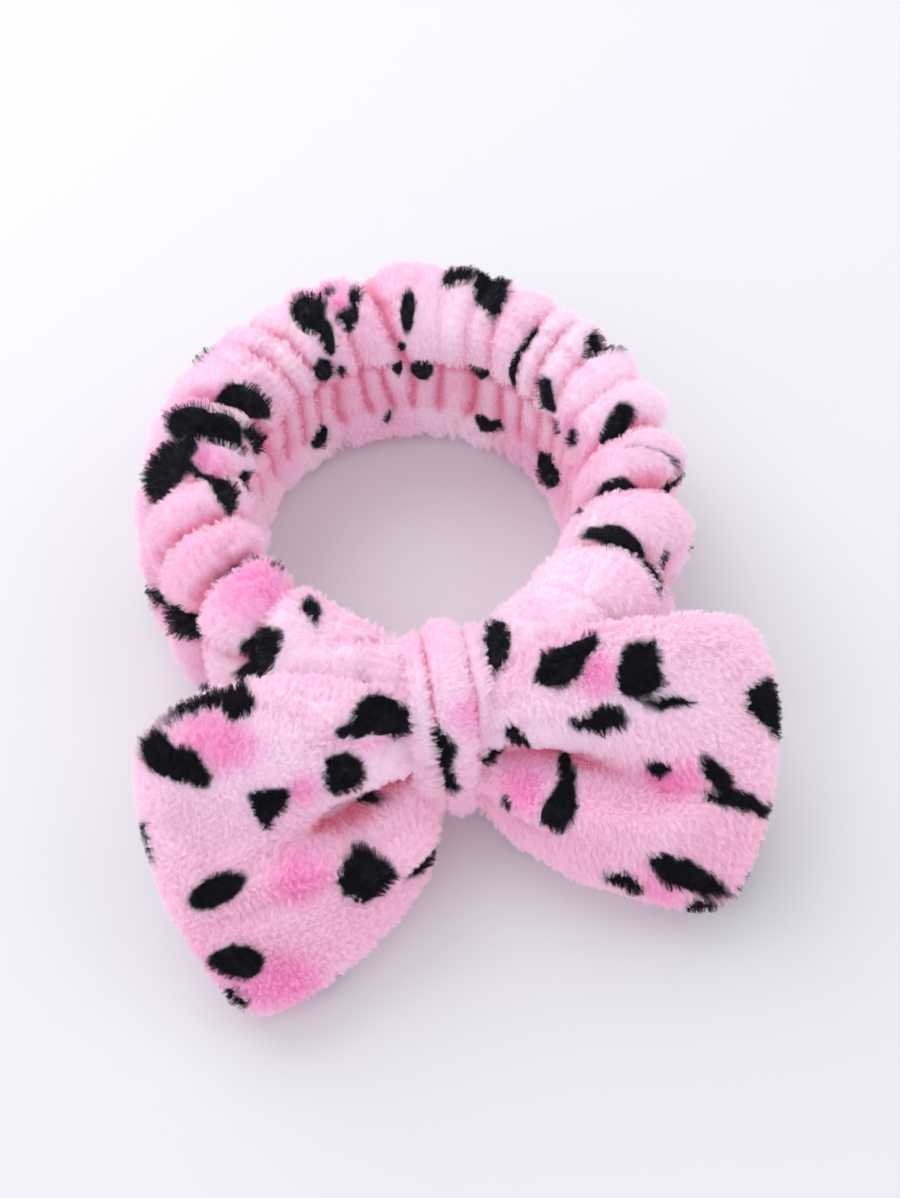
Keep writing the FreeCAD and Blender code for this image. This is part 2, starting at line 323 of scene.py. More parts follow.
def gather_folds(angle, share):
    """Openness (0 in a crease, 1 on a puff) for grids of angle in radians and share of the section."""
    ring = BAND_MIDDLE + NOISE_TUBE * np.cos(2 * math.pi * share)
    rise = NOISE_TUBE * np.sin(2 * math.pi * share)
    turned_place = np.stack([np.cos(angle) * ring, np.sin(angle) * ring, rise], -1)
    warp = 1.6 * noise(turned_place, 14.0, 22) + 2.2 * noise(turned_place, 40.0, 21)
    down = np.clip((share - 0.10) / 0.25, 0, 2.4)
    turned = np.degrees(angle) + warp
    nearest = np.full(angle.shape, 1e9)
    second = np.full(angle.shape, 1e9)
    strength = np.zeros(angle.shape)
    for start, end, depth in CREASES:
        across = np.abs((turned - mix(start, end, down) + 180) % 360 - 180) * 1.3
        closer = across < nearest
        second = np.where(closer, nearest, np.minimum(second, across))
        strength = np.where(closer, depth, strength)
        nearest = np.minimum(nearest, across)
    open_share = 2 * nearest / (nearest + second)
    width = smoothstep(4.0, 24.0, nearest + second)
    fade = 0.5 + 0.5 * noise(turned_place, 20.0, 24)
    strength = strength * mix(1.0, smoothstep(-0.1, 0.5, fade), smoothstep(0.30, 0.42, share))
    over = mix(1.0, open_share, strength) * mix(0.75, 1.0, width)
    pleat = np.abs(np.sin((turned + 3 * noise(turned_place, 30.0, 25)) * math.pi / 180 * PLEATS / 2))
    inside = np.clip(1.1 * pleat, 0, 1)
    wall = smoothstep(0.115, 0.075, share) + smoothstep(0.86, 0.92, share)
    openness = mix(over, inside, wall)
    from_left = np.abs((np.degrees(angle) - GROOVE_SIDE + 180) % 360 - 180)
    groove_place = GROOVE_PLACE + 0.05 * noise(turned_place, 35.0, 26)
    groove_depth = np.clip(0.35 + 0.5 * noise(turned_place, 28.0, 27), 0, 1) + smoothstep(34, 14, from_left)
    groove = np.clip(groove_depth, 0, 1) * np.exp(-(((share - groove_place) / 0.018) ** 2))
    hem = 0.9 * np.exp(-(((share - 0.093) / 0.012) ** 2))
    return np.clip(openness * (1 - groove) * (1 - hem), 0, 1)


def band_grid():
    """The gathered sleeve: points, openness of the folds (lowered on the inner wall as painted shade), and the
    place on the fabric in mm.
    """
    angle = np.arange(BAND_ROWS)[:, None] / BAND_ROWS * 2 * math.pi + np.zeros((1, BAND_COLUMNS))
    out, up, perimeter = band_profile(BAND_COLUMNS)
    share = np.arange(BAND_COLUMNS)[None, :] / BAND_COLUMNS + np.zeros((BAND_ROWS, 1))
    from_front = np.abs((angle + math.pi) % (2 * math.pi) - math.pi)
    full = smoothstep(NECK_ANGLES[0], NECK_ANGLES[1], from_front)
    open_folds = gather_folds(angle, share)
    swing = 1.1 * np.sin(3 * angle + 0.6)
    lengthwise = np.clip(np.abs(np.sin(share * 2 * math.pi * 2.5 + swing)) * 1.6, 0, 1)
    openness = mix(lengthwise, open_folds, smoothstep(math.radians(16), math.radians(38), from_front))
    inner = smoothstep(0.125, 0.075, np.minimum(share, 1 - share))
    outside = smoothstep(0.08, 0.32, share) * smoothstep(1.02, 0.72, share)
    fold = mix(mix(TOP_FOLD, OUTER_FOLD, outside), INNER_FOLD, inner) * mix(NECK_FOLD, 1.0, full)
    height = fold * (1 - (1 - openness) ** 2) ** 0.75
    sideways = out[None, :] * (mix(NECK_CORE, BAND_CORE, full)) * np.ones_like(share)
    upright = up[None, :] * (mix(NECK_CORE_HEIGHT, BAND_CORE_HEIGHT, full)) * np.ones_like(share)
    behind = smoothstep(-4.0, -14.0, sideways) * smoothstep(14.0, 7.0, upright)
    sideways = sideways + ROLL_SETBACK * full * behind
    upright = upright + BAND_LIFT * full * smoothstep(-5.0, 15.0, upright)
    lean = LEAN * (1 - full)
    radius = mix(-NECK_Y, CORE_MIDDLE, full)
    level = radius + sideways * np.cos(lean) - upright * np.sin(lean)
    z = sideways * np.sin(lean) + upright * np.cos(lean)
    points = np.stack([np.sin(angle) * level, -np.cos(angle) * level, z], -1)
    normal = grid_normals(points, True)
    points = points + normal * height[..., None]
    place = np.stack([angle * BAND_MIDDLE, share * perimeter], -1)
    # Painted shade: the openness is lowered on the inner wall, so its colour turns deeper pink
    return points, openness * mix(1.0, 0.42, inner * full), place


# Bow ----------------------------------------------------------------------------------------------

WING_ROWS = 76  # from the wrap to the outer edge
WING_COLUMNS = 140  # round the pillow
# Points along each wing's upper and lower edge, in mm from its bend line, with x away from the wrap.
LEFT_UPPER = (
    (-12, 10, 12), (4, 12, 22), (17, 12, 27), (29, 14, 28), (43, 14, 27), (57, 14, 22), (73, 11, 13),
)
LEFT_LOWER = (
    (-12, -8, -22), (-4, -19, -28), (3, -30, -29), (14, -42, -29), (26, -51, -29), (38, -58, -29),
    (51, -63, -29),
)
RIGHT_UPPER = (
    (-12, 10, 12), (0, 14, 20), (15, 16, 26), (30, 18, 28), (46, 18, 28), (61, 18, 26), (75, 19, 17),
)
RIGHT_LOWER = (
    (-12, -8, -22), (-5, -14, -25), (4, -22, -27), (15, -32, -28), (28, -39, -29), (41, -45, -29),
    (57, -51, -29),
)
WING_THICKNESS = 14.0
END_BULGE = 9.5
WING_ROUNDING = 0.11  # share of the length over which the outer end rounds off
CORNER_ROUNDING = 0.10
WING_FABRIC = 86.0  # length of a wing's fabric in mm
HALF_FABRIC = 40.0  # half the height of its front in mm
WING_PERIOD = 5 * HALF_FABRIC  # once round the pillow


def wing_middle(side, share, height):
    """The wing's middle sheet: share runs from the wrap to the outer edge, height from -1 to 1."""
    root = joint_point("right_wing_fold" if side > 0 else "left_wing_fold")
    mirror = np.array([side, 1, 1])
    upper = smooth_path(RIGHT_UPPER if side > 0 else LEFT_UPPER, share)
    lower = smooth_path(RIGHT_LOWER if side > 0 else LEFT_LOWER, share)
    along = (upper[-1:] + lower[-1:] - upper[:1] - lower[:1]) / 2
    along = along / np.linalg.norm(along, axis=-1, keepdims=True)
    point = mix(lower, upper, (height[..., None] + 1) / 2)
    bulge = END_BULGE * (1 - height**2) * share**3
    return root + mirror * (point + along * bulge[..., None])


def valley(share, height, line, above, below, start, end):
    """A fold along a line of height: drawn in gently from above and sharply from below."""
    width = np.where(height > line, above, below)
    along = smoothstep(end[1], end[0], share) * smoothstep(start[0], start[1], share)
    return np.exp(-np.abs((height - line) / width) ** 1.6) * along


def wing_valleys(side, share, height):
    """How deep the front is drawn in, 0..1, and how far the lip under the long fold stands out."""
    if side < 0:
        line = -0.25 + 0.20 * smoothstep(0.35, 0.80, share)
        deep = valley(share, height, line, 0.30, 0.07, (0.0, 0.12), (0.35, 0.92))
        low = 0.22 * valley(share, height, -0.42 + 0.12 * share, 0.10, 0.10, (0.35, 0.6), (0.8, 1.0))
        high = 0.45 * valley(share, height, 0.42 + 0.1 * share, 0.07, 0.14, (0.0, 0.05), (0.15, 0.42))
    else:
        line = -0.13 - 0.06 * share
        deep = 0.8 * valley(share, height, line, 0.34, 0.08, (0.02, 0.16), (0.45, 0.95))
        low = 0.45 * valley(share, height, -0.52 - 0.2 * share, 0.08, 0.10, (0.0, 0.08), (0.25, 0.5))
        high = 0.35 * valley(share, height, 0.35 + 0.3 * share, 0.10, 0.10, (0.0, 0.05), (0.15, 0.45))
    gathers = np.abs(np.sin(height * 10.0 + 0.8 * side)) ** 3 * smoothstep(0.30, 0.06, share) * 0.45
    lip = np.exp(-(((height - line + 0.20) / 0.13) ** 2)) * smoothstep(0.95, 0.45, share)
    pocket = np.exp(-(((share - 0.40) / 0.16) ** 2)) * (0.6 if side < 0 else 0.15)
    return np.clip(deep * (1 + pocket) + low + high + gathers, 0, 1.6), lip * smoothstep(0.0, 0.15, share)


def wing_grid(side):
    """A wing's pillow: points, openness, and the place on the fabric in mm."""
    share = np.linspace(0, 1, WING_ROWS)[:, None] + np.zeros((1, WING_COLUMNS))
    share = 1 - (1 - share) ** 1.5
    turn = np.arange(WING_COLUMNS)[None, :] / WING_COLUMNS * 2 * math.pi + np.zeros((WING_ROWS, 1))
    edge = np.clip((share - 1 + WING_ROUNDING) / WING_ROUNDING, 0, 1)
    corner = 1 - CORNER_ROUNDING * (1 - np.sqrt(1 - edge**2))
    height = -np.cos(turn)
    height = np.sign(height) * np.abs(height) ** 0.92 * corner
    front = np.sin(turn)
    middle = wing_middle(side, share, height)
    step = 0.01
    inward = np.clip(share, step, 1 - step)
    within = np.clip(height, step - 1, 1 - step)
    along = wing_middle(side, inward + step, within) - wing_middle(side, inward - step, within)
    upward = wing_middle(side, inward, within + step) - wing_middle(side, inward, within - step)
    normal = np.cross(along, upward) * side
    normal = normal / np.linalg.norm(normal, axis=-1, keepdims=True)
    body = smoothstep(-0.12, 0.38, share) * np.sqrt(1 - edge**2)
    crown = np.sign(front) * np.abs(front) ** 0.85
    drawn, lip = [values * (front > 0) for values in wing_valleys(side, share, height)]
    soft = np.clip(np.abs(front) * 2.5, 0, 1)
    lift = WING_THICKNESS * body * (crown + 0.32 * lip - 1.9 * drawn * soft)
    points = middle + normal * lift[..., None]
    up = np.where(turn < math.pi, height, 3.0 - height) * HALF_FABRIC
    place = np.stack([share * WING_FABRIC, up], -1)
    return points, np.clip(1 - drawn, 0, 1), place


# Wrap ---------------------------------------------------------------------------------------------

WRAP_ROWS = 220
WRAP_COLUMNS = 48
WRAP_WIDTH = 21.0
WRAP_FABRIC = (48.0, 150.0)  # round the strip's section and along the strip, in mm


def wrap_grid():
    """The pleated strip round the waist and the neck."""
    turn = np.arange(WRAP_ROWS)[:, None] / WRAP_ROWS * 2 * math.pi + np.zeros((1, WRAP_COLUMNS))
    section = np.arange(WRAP_COLUMNS)[None, :] / WRAP_COLUMNS * 2 * math.pi + np.zeros((WRAP_ROWS, 1))
    half_depth = (WRAP_HIGH[1] - WRAP_LOW[1]) / 2 - 8.0
    half_height = (WRAP_HIGH[2] - WRAP_LOW[2]) / 2 - 3.5
    power = 2 / 2.6
    front = np.sign(np.cos(turn)) * np.abs(np.cos(turn)) ** power
    top = np.sign(np.sin(turn)) * np.abs(np.sin(turn)) ** power
    centre = (WRAP_LOW + WRAP_HIGH) / 2
    frontward = np.array([0, -math.cos(LEAN), math.sin(LEAN)])
    topward = np.array([0, math.sin(LEAN), math.cos(LEAN)])
    path = centre + frontward * (front * half_depth)[..., None] + topward * (top * half_height)[..., None]
    outward = frontward * (front / half_depth)[..., None] + topward * (top / half_height)[..., None]
    outward = outward / np.linalg.norm(outward, axis=-1, keepdims=True)
    across = np.cos(section)
    skew = 0.30 * np.sin(turn)
    pleats = np.abs(np.sin((across + skew) * 2.6 + 0.9)) ** 0.8
    outer = np.sin(section)
    full = 0.2 + 0.8 * pleats
    thickness = np.where(outer > 0, 6.0 * np.abs(outer) ** 0.55 * full, 4.5 * outer)
    width = WRAP_WIDTH / 2 * (1 - 0.10 * np.cos(turn) ** 2 + 0.05 * np.sin(turn * 3))
    points = path + outward * thickness[..., None]
    points[..., 0] += across * width + 2.0 * np.sin(turn) - 1.5
    around, along = section / (2 * math.pi), turn / (2 * math.pi)
    place = np.stack([around * WRAP_FABRIC[0], along * WRAP_FABRIC[1]], -1)
    openness = np.where(outer > 0, pleats, 1.0)
    return points, openness, place


# Materials ----------------------------------------------------------------------------------------

LIGHT_PINK = (0.95, 0.83, 0.91, 1)
MIDDLE_PINK = (0.93, 0.67, 0.81, 1)
# DEEP_PINK is painted into the creases as shade, and tints the ribs a little
DEEP_PINK = (0.84, 0.24, 0.42, 1)
HOT_PINK = (0.93, 0.42, 0.72, 1)
PILE_GLOW = 0.10  # stands in for the light that many soft strands hand on to each other
RIB_TURNS = 2 * math.pi / 0.0017  # faint knitted ribs, 1.7 mm apart
CHARCOAL = (0.020, 0.020, 0.027, 1)
TIP_HIGHLIGHT_PINK = (0.98, 0.90, 0.95, 1)
THREAD_PINK = (0.62, 0.16, 0.33, 1)
ELASTIC_WHITE = (0.75, 0.75, 0.74, 1)
TABLE_WHITE = (0.74, 0.727, 0.757, 1)


class Graph:
    """A short way to add and link shader nodes."""

    def __init__(self, material):
        material.use_nodes = True
        self.tree = material.node_tree
        self.tree.nodes.clear()

    def add(self, kind, inputs=None, **settings):
        node = self.tree.nodes.new(kind)
        for key, value in settings.items():
            setattr(node, key, value)
        for key, value in (inputs or {}).items():
            if isinstance(value, bpy.types.NodeSocket):
                self.tree.links.new(value, node.inputs[key])
            else:
                node.inputs[key].default_value = value
        return node

    def layer(self, name):
        return self.add("ShaderNodeUVMap", uv_map=name).outputs[0]

    def maths(self, operation, first, second=0.0):
        return self.add("ShaderNodeMath", {0: first, 1: second}, operation=operation).outputs[0]

    def ramp(self, value, low, high, start=0.0, end=1.0):
        inputs = {"Value": value, "From Min": low, "From Max": high, "To Min": start, "To Max": end}
        node = self.add("ShaderNodeMapRange", inputs, interpolation_type="SMOOTHSTEP")
        return node.outputs[0]

    def blend(self, share, first, second):
        inputs = {"Factor": share, "A": first, "B": second}
        node = self.add("ShaderNodeMix", data_type="RGBA")
        for key, value in inputs.items():
            socket = next(s for s in node.inputs if s.name == key and (s.type == "RGBA" or key == "Factor"))
            if isinstance(value, bpy.types.NodeSocket):
                self.tree.links.new(value, socket)
            else:
                socket.default_value = value
        return next(s for s in node.outputs if s.type == "RGBA")

    def noise(self, vector, scale, detail=2.0):
        inputs = {"Vector": vector, "Scale": scale, "Detail": detail}
        return self.add("ShaderNodeTexNoise", inputs).outputs["Fac"]


def fleece_colour(graph):
    """The printed fleece's colour: pink with charcoal spots and hot pink patches, and a deeper pink painted into
    the creases as shade.
    """
    cloth = graph.layer("fabric")
    printed = graph.add("ShaderNodeSeparateXYZ", {0: graph.layer("print")})
    folded = graph.add("ShaderNodeSeparateXYZ", {0: graph.layer("folds")})
    distance = graph.maths("MULTIPLY", graph.maths("SUBTRACT", printed.outputs[0], 0.5), 40.0)
    ragged = graph.maths("MULTIPLY", graph.maths("SUBTRACT", graph.noise(cloth, 45.0), 0.5), 3.4)
    tufts = graph.maths("MULTIPLY", graph.maths("SUBTRACT", graph.noise(cloth, 130.0), 0.5), 2.4)
    edge = graph.maths("ADD", distance, graph.maths("ADD", ragged, tufts))
    ink = graph.ramp(edge, 0.45, -0.45)
    soft = graph.blend(graph.ramp(graph.noise(cloth, 14.0), 0.35, 0.68), LIGHT_PINK, MIDDLE_PINK)
    # Painted shade: where the folds close, the colour turns deeper pink
    crease = graph.maths("MULTIPLY", graph.ramp(folded.outputs[0], 0.52, 0.0), 0.85)
    height = graph.add("ShaderNodeSeparateXYZ", {0: cloth}).outputs[1]
    sway = graph.maths("MULTIPLY", graph.noise(cloth, 25.0), 9.0)
    phase = graph.maths("ADD", graph.maths("MULTIPLY", height, RIB_TURNS), sway)
    shown = graph.ramp(graph.noise(cloth, 18.0), 0.42, 0.62, 0.0, 0.30)
    ribs = graph.maths("MULTIPLY", graph.ramp(graph.maths("SINE", phase), -0.6, 1.0), shown)
    soft = graph.blend(ribs, soft, MIDDLE_PINK)
    soft = graph.blend(graph.maths("MULTIPLY", ribs, 0.35), soft, DEEP_PINK)
    pink = graph.blend(crease, soft, DEEP_PINK)
    patchy = graph.ramp(graph.noise(cloth, 22.0), 0.25, 0.7, 0.6, 0.95)
    blush = graph.maths("MULTIPLY", printed.outputs[1], patchy)
    pink = graph.blend(blush, pink, HOT_PINK)
    return graph.blend(ink, pink, CHARCOAL), cloth, ink


def fleece_skin():
    """The fleece's surface under its pile, with the tufts as bumps."""
    material = bpy.data.materials.new("fleece_skin")
    graph = Graph(material)
    colour, cloth, _ = fleece_colour(graph)
    fine = graph.noise(cloth, 95.0, 3.0)
    bump = graph.add("ShaderNodeBump", {"Strength": 0.7, "Distance": 0.0012, "Height": fine})
    shade = graph.add(
        "ShaderNodeBsdfPrincipled",
        {
            "Base Color": colour,
            "Roughness": graph.ramp(fine, 0.3, 0.7, 0.86, 0.98),
            "Specular IOR Level": 0.15,
            "Sheen Weight": 0.35,
            "Sheen Roughness": 0.5,
            "Normal": bump.outputs[0],
        },
    )
    graph.add("ShaderNodeOutputMaterial", {"Surface": shade.outputs[0]})
    return material


def fleece_pile():
    """The pile's strands: the print's colour, paler towards the tips as a painted highlight, with light passing
    through and a faint painted glow.
    """
    material = bpy.data.materials.new("fleece_pile")
    graph = Graph(material)
    colour, _, ink = fleece_colour(graph)
    strand = graph.add("ShaderNodeHairInfo")
    # Painted highlight: the strands turn paler towards their tips, except on the spots
    tip = graph.maths("MULTIPLY", graph.ramp(strand.outputs["Intercept"], 0.2, 1.0), 0.34)
    painted_tip_highlight = graph.maths("MULTIPLY", tip, graph.maths("SUBTRACT", 1.0, ink))
    colour = graph.blend(painted_tip_highlight, colour, TIP_HIGHLIGHT_PINK)
    surface = graph.add("ShaderNodeBsdfDiffuse", {"Color": colour, "Roughness": 0.6})
    through = graph.add("ShaderNodeBsdfTranslucent", {"Color": colour})
    both = graph.add("ShaderNodeMixShader", {0: 0.38, 1: surface.outputs[0], 2: through.outputs[0]})
    # Painted glow: the strands give off a little light of their own colour, standing in for the light passed
    # between them
    glow = graph.add("ShaderNodeEmission", {"Color": colour, "Strength": PILE_GLOW})
    lit = graph.add("ShaderNodeAddShader", {0: both.outputs[0], 1: glow.outputs[0]})
    graph.add("ShaderNodeOutputMaterial", {"Surface": lit.outputs[0]})
    return material


def plain_cloth(name, colour, scale):
    """Thread or elastic: a woven look from fine waves and noise."""
    material = bpy.data.materials.new(name)
    graph = Graph(material)
    where = graph.add("ShaderNodeTexCoord").outputs["Object"]
    wave = graph.add("ShaderNodeTexWave", {"Vector": where, "Scale": scale, "Distortion": 0.6}).outputs["Fac"]
    fine = graph.noise(where, scale * 3)
    darker = tuple(c * 0.75 for c in colour[:3]) + (1,)
    shade_colour = graph.blend(graph.ramp(fine, 0.3, 0.7, 0.0, 0.35), colour, darker)
    bump = graph.add("ShaderNodeBump", {"Strength": 0.5, "Distance": 0.0002, "Height": wave})
    inputs = {"Base Color": shade_colour, "Roughness": 0.8, "Normal": bump.outputs[0]}
    shade = graph.add("ShaderNodeBsdfPrincipled", inputs)
    graph.add("ShaderNodeOutputMaterial", {"Surface": shade.outputs[0]})
    return material


# Fleece pieces ------------------------------------------------------------------------------------

SKIN = fleece_skin()
PILE = fleece_pile()
PILE_LENGTH = 2.7
CREASE_PILE = 0.35  # share of the full length left in a crease
STRANDS = 12  # strands grown round each tuft


def pile_lengths(obj):
    """A vertex group that makes the pile shorter where it is pressed together in a crease."""
    mesh = obj.data
    folds = np.empty(len(mesh.loops) * 2, np.float32)
    mesh.uv_layers["folds"].data.foreach_get("uv", folds)
    corner = np.empty(len(mesh.loops), np.int32)
    mesh.loops.foreach_get("vertex_index", corner)
    level = np.zeros(len(mesh.vertices), int)
    level[corner] = np.round(10 * mix(CREASE_PILE, 1.0, np.clip(folds[0::2] * 1.3, 0, 1)))
    group = obj.vertex_groups.new(name="pile_length")
    for step in range(1, 11):
        group.add(np.nonzero(level == step)[0].tolist(), step / 10, "REPLACE")


def add_pile(obj, tufts, seed):
    """Short clumped pile all over a fleece piece."""
    obj.data.materials.append(SKIN)
    obj.data.materials.append(PILE)
    obj.modifiers.new("pile", "PARTICLE_SYSTEM")
    system = obj.particle_systems[-1]
    system.seed = seed
    pile_lengths(obj)
    system.vertex_group_length = "pile_length"
    hair = system.settings
    hair.type = "HAIR"
    hair.use_advanced_hair = True
    hair.count = tufts
    hair.hair_length = PILE_LENGTH * MM
    hair.hair_step = 3
    hair.render_step = 3
    hair.display_step = 2
    hair.emit_from = "FACE"
    hair.use_emit_random = True
    hair.use_even_distribution = True
    hair.factor_random = 0.00028
    hair.tangent_factor = 0.00035
    hair.phase_factor_random = 0.6
    hair.tangent_phase = 0.25
    hair.child_type = "INTERPOLATED"
    hair.rendered_child_count = STRANDS
    hair.child_percent = 0
    hair.clump_factor = 0.3
    hair.clump_shape = 0.1
    hair.child_length = 1.0
    hair.roughness_1 = 0.0006
    hair.roughness_1_size = 0.002
    hair.roughness_2 = 0.0004
    hair.roughness_endpoint = 0.0003
    hair.root_radius = 0.085
    hair.tip_radius = 0.035
    hair.radius_scale = MM
    hair.shape = -0.2
    hair.material = 2


def fleece_piece(name, points, openness, place, wrap_rows, spots, patches, tufts, seed):
    """A printed fleece mesh with its uv layers, tufted surface and pile."""
    normal = grid_normals(points, wrap_rows)
    bumps = 0.22 * noise(points, 2.6, seed) + 0.22 * noise(points, 6.0, seed + 1)
    if not wrap_rows:
        bumps[-1] = 0
    points = points + normal * bumps[..., None]
    layers = {
        "fabric": place * MM,
        "print": print_layer(place, spots, patches),
        # folds: openness, which paints a deeper pink into the creases as shade and shortens the pile there
        "folds": np.stack([openness, openness], -1),
    }
    obj = grid_mesh(name, points, wrap_rows, layers, not wrap_rows)
    add_pile(obj, tufts, seed)
    return obj


def finer(values, wrap_rows):
    return upsample(upsample(values, 0, wrap_rows), 1, True)


def unwrap(place, period, axis):
    """Adds the closing row or column, one period on, so that the fabric's place doesn't jump back."""
    first = np.take(place, [0], axis).copy()
    first[..., 0 if axis == 0 else 1] += period
    return np.concatenate([place, first], axis)


def linear_finer(place, wrap_rows):
    """Twice as many samples of an already unwrapped place, halfway between the old ones."""
    for axis in (0, 1):
        place = np.moveaxis(place, axis, 0)
        result = np.empty((2 * len(place) - 1, *place.shape[1:]))
        result[0::2] = place
        result[1::2] = (place[1:] + place[:-1]) / 2
        place = np.moveaxis(result, 0, axis)
    return place


# The visible pieces -------------------------------------------------------------------------------

# Charcoal spots and hot pink patches: centre, length, width, tilt, bend and taper. On the band the centre
# is degrees from the front and mm round the section; on the wings mm from the wrap and mm of height.
BAND_SPOTS = (
    ((161, 33.5), 10, 8, 0, 0, 0), ((152.5, 34), 22, 11, 45, 0, 0), ((174, 25.5), 10, 5.5, 90, 0, 0),
    ((192, 25.5), 11, 5, 0, 0.2, 0), ((188.5, 29.5), 8, 5, 90, 0, 0), ((194, 33.5), 9, 2, 0, 0, 0),
    ((203.5, 30), 13, 8.5, -10, 0, 0), ((201, 24), 6, 8, 0, 0, 0), ((206, 17), 9, 8, 10, 0, 0),
    ((200, 14), 5, 3.5, 0, 0, 0), ((227, 39), 9, 7, 0, 0, 0), ((214, 42), 8, 5, 0, 0, 0),
    ((236, 24), 18, 8.5, 50, 0, -0.2), ((250.5, 27), 18, 15, 90, 0, 0), ((263.5, 35), 21, 9, 28, 0, 0),
    ((272, 24.5), 20, 5, -15, 0.2, 0), ((262, 15), 14, 7, 0, 0, 0), ((243.5, 16), 12, 7, 60, 0, 0),
    ((211, -11), 10, 6, 0, 0, 0), ((183, -13), 4, 3, 0, 0, 0), ((176, 17), 4, 3.5, 0, 0, 0),
    ((178, 9), 5, 5, 0, 0, 0), ((169.5, 8), 9, 8, 0, 0, 0), ((147, 12), 12, 6, 0, 0.2, 0),
    ((142, -11), 17, 6, -5, 0, 0), ((135.5, 22), 21, 3.2, 83, 0.1, 0),
    ((118.5, 17.5), 15, 6.5, 16, 0, 0), ((118.5, 35.5), 11, 8, 0, 0, 0),
    ((94, 28.5), 15, 7.5, 30, 0, 0), ((99, 17), 11, 6, 10, 0, 0), ((110, 14), 7, 4, 0, 0, 0),
    ((112, -9), 19, 14, 0, 0, 0), ((88, 50), 15, 5.5, 0, 0.3, 0), ((83.5, 45), 7, 5, 60, 0, 0),
    ((84.5, 37), 11, 2.2, 90, 0, 0), ((74, 24.5), 9, 3.2, 60, 0, 0), ((75, 29), 6, 2, 80, 0, 0),
    ((55.5, 33), 20, 7, 108, 0.3, 0), ((61, 43), 8, 7, 0, 0, 0), ((57.5, 46), 9, 3, 0, 0, 0),
    ((52, 62), 9, 5, 0, 0, 0), ((66, 19), 5, 4, 0, 0, 0), ((298.5, 25.5), 18, 5.5, 90, -0.45, 0),
    ((303, 19.5), 6, 5, 0, 0, 0), ((318.5, 37.5), 14, 9, -20, 0, -0.3), ((316, 45), 6, 4, 0, 0, 0),
    ((296, 47), 14, 7, 10, 0, 0), ((302.5, 48), 9, 3.5, 10, 0, 0), ((303, 54), 6, 3, 0, 0, 0),
    ((284, 54), 7, 5, 0, 0, 0), ((323.5, 24.5), 10, 4, 20, 0.3, 0), ((348.5, 43.5), 8, 8, 0, 0, 0),
    ((14.5, 30.5), 15, 7, 120, 0, 0), ((9, 37), 7, 3, 140, 0, 0),
)
BAND_PATCHES = (
    ((194, 30), 9, 7, 0, 0, 0), ((158, 44), 11, 8, 0, 0, 0), ((241, 31), 14, 6, 30, 0, 0),
    ((262, 28), 15, 10, 0, 0, 0), ((308, 27), 22, 13, 0, 0, 0), ((12, 33), 8, 6, 0, 0, 0),
    ((87, 45), 8, 7, 0, 0, 0), ((197, 38), 12, 7, 0, 0, 0), ((345, 40), 8, 6, 0, 0, 0),
    ((104, 18), 10, 6, 0, 0, 0),
)
LEFT_SPOTS = (
    ((76, 30), 24, 7.5, 47, 0, 0), ((66, 39.5), 25, 5, 0, 0, 0), ((57, 36.5), 9, 7, 0, 0, 0),
    ((15, 31), 22, 15, 5, 0, 0), ((27.5, 27.5), 9, 5, -10, 0, 0), ((14, 18.5), 15, 3, 5, 0, 0),
    ((37, 13), 15, 10, -60, 0, 0), ((58.5, 10), 12, 6.5, 113, 0, 0.7), ((25, -9), 15, 5, 15, 0, 0),
    ((43.5, -19), 15, 12.5, 35, 0, 0), ((76, -5.5), 15, 8, -8, 0, 0), ((86, 14), 10, 4, 90, 0, 0),
    ((80, -24), 10, 7, 33, 0, 0), ((86, -33), 9, 4.5, 90, 0, 0), ((21, -30), 25, 8, 5, 0, 0),
)
LEFT_PATCHES = (
    ((65, 30), 19, 12, 40, 0, 0), ((20, 21.5), 20, 4, 8, 0, 0), ((49, 12), 9, 8, 0, 0, 0),
    ((58, -11), 14, 12, 20, 0, 0), ((76, -33), 22, 14, 28, 0, 0),
)
RIGHT_SPOTS = (
    ((29, 36.5), 13, 12, 10, 0, 0), ((36, 40), 15, 4.5, 25, 0, 0), ((50.5, 30), 18, 11.5, -85, 0, 0),
    ((59, 20), 16, 3.5, -6, 0.1, -0.6), ((42, 16), 15, 7, 7, 0.15, 0), ((81.5, 18.5), 18, 9, -75, 0, 0),
    ((60.5, 0), 6, 5.5, 0, 0, 0), ((77, -8.5), 18, 6, -5, -0.1, 0), ((72.5, -2), 12, 4, -52, 0, 0),
    ((18.5, 9.5), 12, 5, -39, 0, 0), ((7, -1), 13, 9, -50, 0, 0), ((14, 3), 11, 2.5, 0, 0, 0),
    ((35, -7.5), 10, 3.5, -23, 0, 0), ((38, -14), 13, 7, -97, 0.2, 0), ((21, -14.5), 6, 5, -15, 0, 0),
    ((57.5, -35), 15, 7, -25, 0, 0), ((73.5, -30.5), 28, 6.5, -22, 0, 0), ((81, -39), 10, 5, -5, 0, 0),
)
RIGHT_PATCHES = (
    ((39.5, 31), 15, 10, -65, 0, 0), ((63.5, -3), 13, 11, 10, 0, 0), ((68, -35), 14, 7, -35, 0, 0),
    ((25, -11), 15, 9, -20, 0, 0),
)
WRAP_SPOTS = (
    ((13.5, 1), 19, 4, 80, 0, 0), ((13.5, 151), 19, 4, 80, 0, 0), ((33, 40), 12, 8, 30, 0, 0),
    ((14, 100), 10, 7, 0, 0, 0),
)
WRAP_PATCHES = (((8, 12), 12, 6, 80, 0, 0),)


SCATTER_CELL = 19.0  # one scattered spot in most squares of this size
BAND_TUFTS = 48000
WING_TUFTS = 18000
WRAP_TUFTS = 7000
MARK_REACH = 12  # how far past the fabric's edge a mark can still show


